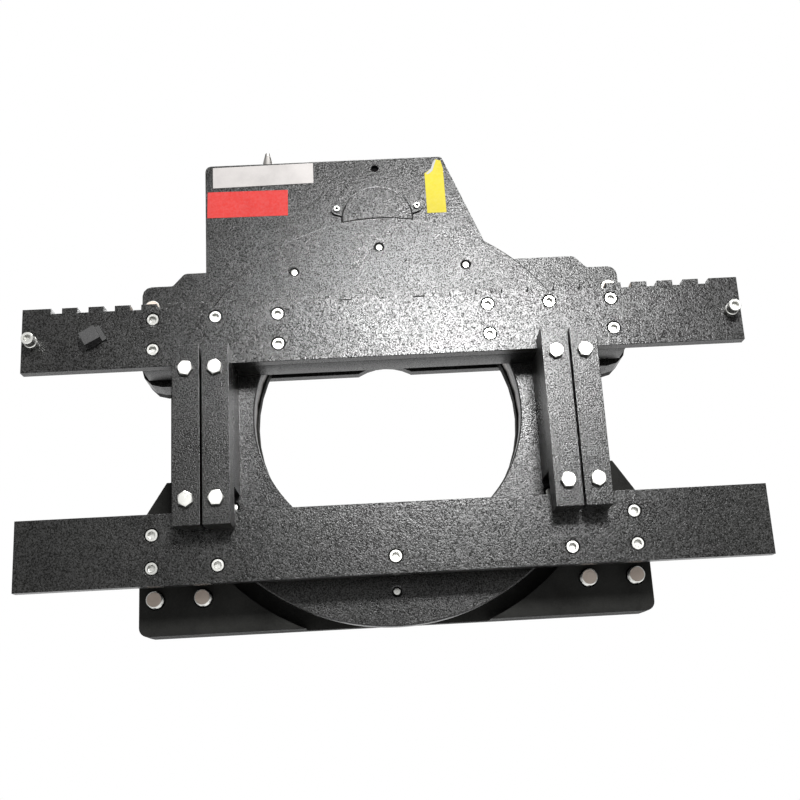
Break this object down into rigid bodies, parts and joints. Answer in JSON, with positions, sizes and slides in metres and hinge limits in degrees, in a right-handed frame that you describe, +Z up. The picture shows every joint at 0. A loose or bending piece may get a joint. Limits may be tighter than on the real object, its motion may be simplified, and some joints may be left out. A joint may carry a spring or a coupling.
{
  "type": "forklift rotator",
  "caption": "Forklift rotator: slewing ring with a worm drive, hooked to a lift truck's carriage at the rear, turning a fork carriage without end.",
  "frame": {"origin": "rear bearing face of the upper hook bar, at mid width, 130 mm above the rotation axis", "axes": "+X to the right seen from the fork side, +Z up, -Y towards the forks, +Y towards the truck"},
  "size_m": [1.04, 0.3074, 0.807],
  "materials": {
    "base_plate": "satin",
    "gear_housing": "satin",
    "housing_cover": "satin",
    "right_shoulder_plate": "satin",
    "lower_left_corner_plate": "satin",
    "lower_right_corner_plate": "satin",
    "upper_hook_bar": "satin",
    "lower_left_hook": "satin",
    "lower_right_hook": "satin",
    "pinion_cover": "satin",
    "worm_case": "satin",
    "worm_case_cover": "satin",
    "worm_end_cap": "satin",
    "rotor_disc": "satin",
    "upper_fork_bar": "satin",
    "lower_fork_bar": "satin",
    "upper_bar_spacer": "satin",
    "lower_bar_spacer": "satin",
    "left_rail": "satin",
    "right_rail": "satin",
    "left_inner_tie_bar": "satin",
    "left_outer_tie_bar": "satin",
    "right_inner_tie_bar": "satin",
    "right_outer_tie_bar": "satin",
    "left_tie_bolt_1": "bright zinc",
    "left_tie_bolt_2": "bright zinc",
    "left_tie_bolt_3": "bright zinc",
    "left_tie_bolt_4": "bright zinc",
    "right_tie_bolt_1": "bright zinc",
    "right_tie_bolt_2": "bright zinc",
    "right_tie_bolt_3": "bright zinc",
    "right_tie_bolt_4": "bright zinc",
    "left_end_stop": "bright zinc",
    "right_end_stop": "bright zinc",
    "pinion_cover_left_screw": "bright zinc",
    "pinion_cover_right_screw": "bright zinc",
    "upper_left_stud": "bright zinc",
    "upper_right_stud": "bright zinc",
    "lower_left_stud_a": "bright zinc",
    "lower_left_stud_b": "bright zinc",
    "lower_right_stud_a": "bright zinc",
    "lower_right_stud_b": "bright zinc",
    "front_port_adapter": "bright zinc",
    "rear_port_adapter": "bright zinc",
    "slewing_inner_ring": "machined, oiled",
    "slewing_gear_ring": "machined, oiled",
    "ball_cage": "machined, oiled",
    "pinion": "machined, oiled",
    "pinion_front_bearing": "machined, oiled",
    "pinion_rear_bearing": "machined, oiled",
    "worm": "machined, oiled",
    "worm_left_bearing": "machined, oiled",
    "worm_right_bearing": "machined, oiled",
    "locating_lug": "machined, oiled",
    "hydraulic_motor": "cast",
    "motor_flange": "cast",
    "motor_end_cap": "cast",
    "motor_port_block": "cast",
    "worm_wheel": "machined",
    "plastic_plug": "matte"
  },
  "bodies": {
    "fixed_frame": {"base_plate": "base_plate", "gear_housing": "gear_housing", "housing_cover": "housing_cover", "right_shoulder_plate": "right_shoulder_plate", "lower_left_corner_plate": "lower_left_corner_plate", "lower_right_corner_plate": "lower_right_corner_plate", "upper_hook_bar": "upper_hook_bar", "lower_left_hook": "lower_left_hook", "lower_right_hook": "lower_right_hook", "pinion_cover": "pinion_cover", "worm_case": "worm_case", "worm_case_cover": "worm_case_cover", "worm_end_cap": "worm_end_cap", "pinion_cover_left_screw": "pinion_cover_left_screw", "pinion_cover_right_screw": "pinion_cover_right_screw", "upper_left_stud": "upper_left_stud", "upper_right_stud": "upper_right_stud", "lower_left_stud_a": "lower_left_stud_a", "lower_left_stud_b": "lower_left_stud_b", "lower_right_stud_a": "lower_right_stud_a", "lower_right_stud_b": "lower_right_stud_b", "front_port_adapter": "front_port_adapter", "rear_port_adapter": "rear_port_adapter", "slewing_inner_ring": "slewing_inner_ring", "pinion_front_bearing": "pinion_front_bearing", "pinion_rear_bearing": "pinion_rear_bearing", "worm_left_bearing": "worm_left_bearing", "worm_right_bearing": "worm_right_bearing", "locating_lug": "locating_lug", "hydraulic_motor": "hydraulic_motor", "motor_flange": "motor_flange", "motor_end_cap": "motor_end_cap", "motor_port_block": "motor_port_block"},
    "rotor": {"rotor_disc": "rotor_disc", "slewing_gear_ring": "slewing_gear_ring", "upper_fork_bar": "upper_fork_bar", "lower_fork_bar": "lower_fork_bar", "upper_bar_spacer": "upper_bar_spacer", "lower_bar_spacer": "lower_bar_spacer", "left_rail": "left_rail", "right_rail": "right_rail", "left_inner_tie_bar": "left_inner_tie_bar", "left_outer_tie_bar": "left_outer_tie_bar", "right_inner_tie_bar": "right_inner_tie_bar", "right_outer_tie_bar": "right_outer_tie_bar", "left_tie_bolt_1": "left_tie_bolt_1", "left_tie_bolt_2": "left_tie_bolt_2", "left_tie_bolt_3": "left_tie_bolt_3", "left_tie_bolt_4": "left_tie_bolt_4", "right_tie_bolt_1": "right_tie_bolt_1", "right_tie_bolt_2": "right_tie_bolt_2", "right_tie_bolt_3": "right_tie_bolt_3", "right_tie_bolt_4": "right_tie_bolt_4", "left_end_stop": "left_end_stop", "right_end_stop": "right_end_stop", "plastic_plug": "plastic_plug"},
    "ball_set": {"ball_cage": "ball_cage"},
    "pinion_shaft": {"pinion": "pinion", "worm_wheel": "worm_wheel"},
    "worm_shaft": {"worm": "worm"}
  },
  "joints": [
    {"name": "rotor_spin", "type": "hinge", "parent": "fixed_frame", "child": "rotor", "pos_m": [0, -0.0595, -0.13], "axis": [0, 1, 0], "continuous": true},
    {"name": "ball_orbit", "type": "hinge", "parent": "fixed_frame", "child": "ball_set", "pos_m": [0, -0.0591, -0.13], "axis": [0, 1, 0], "continuous": true},
    {"name": "pinion_spin", "type": "hinge", "parent": "fixed_frame", "child": "pinion_shaft", "pos_m": [0, -0.0591, 0.188], "axis": [0, 1, 0], "continuous": true},
    {"name": "worm_spin", "type": "hinge", "parent": "fixed_frame", "child": "worm_shaft", "pos_m": [0, 0.022, 0.257], "axis": [1, 0, 0], "continuous": true}
  ],
  "couplings": [
    {"joint": "ball_orbit", "follows": "rotor_spin", "ratio": 0.52},
    {"joint": "pinion_spin", "follows": "rotor_spin", "ratio": -7.8333},
    {"joint": "worm_spin", "follows": "rotor_spin", "ratio": 235}
  ]
}
